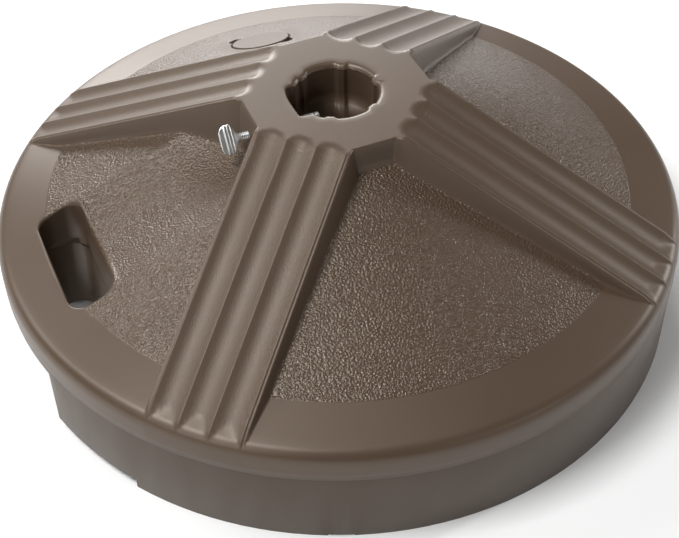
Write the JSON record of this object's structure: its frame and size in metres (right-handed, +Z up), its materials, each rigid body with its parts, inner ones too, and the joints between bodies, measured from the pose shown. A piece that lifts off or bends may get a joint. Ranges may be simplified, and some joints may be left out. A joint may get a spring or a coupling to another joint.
{
  "type": "parasol base",
  "caption": "Round fillable parasol base with a fluted hub, a ribbed pole socket clamped by a thumb screw, a carry-handle slot and a filler plug.",
  "frame": {"origin": "on the floor, on the axis of the pole socket", "axes": "+Z up along the pole socket, -X towards the carry handle and the thumb screw, +Y towards the filler plug"},
  "size_m": [0.4829, 0.4828, 0.168],
  "materials": {
    "shell_plastic": "satin bronze-brown moulded plastic, finely grained between the arms",
    "plug_plastic": "satin bronze-brown moulded plastic with a fine grain",
    "zinc_steel": "bright zinc-plated steel",
    "seal_rubber": "matt black rubber",
    "ballast": "damp packed sand"
  },
  "bodies": {
    "base": {"upper_shell": "shell_plastic", "lower_shell": "shell_plastic", "ballast_fill": "ballast", "hub_nut": "zinc_steel"},
    "screw_carriage": {"screw_point": "zinc_steel"},
    "screw": {"thumb_screw": "zinc_steel"},
    "plug": {"fill_plug": "plug_plastic", "plug_seal": "seal_rubber"}
  },
  "joints": [
    {"name": "screw_advance", "type": "slide", "parent": "base", "child": "screw_carriage", "axis": [1, 0, 0], "range_m": [-0.01524, 0.00254]},
    {"name": "screw_turn", "type": "hinge", "parent": "screw_carriage", "child": "screw", "pos_m": [-0.0155, 0, 0.1505], "axis": [1, 0, 0], "range_deg": [-4330, 730]},
    {"name": "plug_lift", "type": "slide", "parent": "base", "child": "plug", "axis": [0, 0.3978, 0.9175], "range_m": [0, 0.04]}
  ],
  "couplings": [
    {"joint": "screw_turn", "follows": "screw_advance", "rad_per_m": 4947.3}
  ]
}
